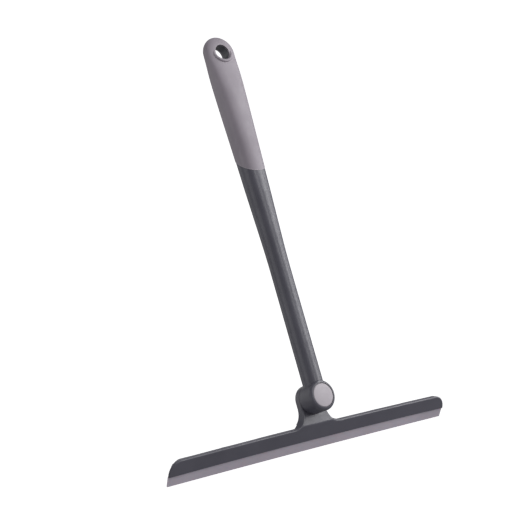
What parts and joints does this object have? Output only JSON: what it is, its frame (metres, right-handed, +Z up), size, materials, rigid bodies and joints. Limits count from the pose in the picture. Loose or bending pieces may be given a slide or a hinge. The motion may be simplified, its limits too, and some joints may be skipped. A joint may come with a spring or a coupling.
{
  "type": "window cleaning squeegee",
  "caption": "Window squeegee with a long soft-grip handle, a hang hole and a wide rubber blade on a head that swivels flat beside the handle when its round button is pressed",
  "frame": {"origin": "centre of the hang hole near the top of the grip", "axes": "X along the blade, +Z up the handle away from the blade, +Y through the hang hole towards the window side; the button faces -Y"},
  "size_m": [0.304, 0.0346, 0.3672],
  "materials": {
    "dark_plastic": "satin moulded dark grey plastic",
    "soft_lilac": "matte soft-touch lilac grey",
    "blade_rubber": "matte lilac grey rubber",
    "white_plastic": "natural low-friction plastic",
    "steel": "plain zinc-plated steel"
  },
  "bodies": {
    "handle": {"handle_core": "dark_plastic", "soft_grip": "soft_lilac", "pivot_screw": "steel", "screw_washer": "steel", "glide_washer": "white_plastic"},
    "head": {"head_frame": "dark_plastic", "rubber_blade": "blade_rubber", "rear_cap": "dark_plastic", "clutch_spring": "steel"},
    "button": {"button_plunger": "dark_plastic", "button_pad": "soft_lilac"},
    "clutch": {"clutch_ring": "white_plastic"}
  },
  "joints": [
    {"name": "head_swivel", "type": "hinge", "parent": "handle", "child": "head", "pos_m": [0, 0, -0.311], "axis": [0, 1, 0], "range_deg": [-90, 90]},
    {"name": "button_press", "type": "slide", "parent": "handle", "child": "button", "axis": [0, 1, 0], "range_m": [0, 0.002], "stiffness_N_per_m": 1500, "springref_m": -0.003},
    {"name": "clutch_lift", "type": "slide", "parent": "head", "child": "clutch", "axis": [0, 1, 0], "range_m": [0, 0.002], "stiffness_N_per_m": 1500, "springref_m": -0.003, "deforming": ["clutch_spring"]}
  ],
  "couplings": [
    {"joint": "clutch_lift", "follows": "button_press", "ratio": 1}
  ]
}
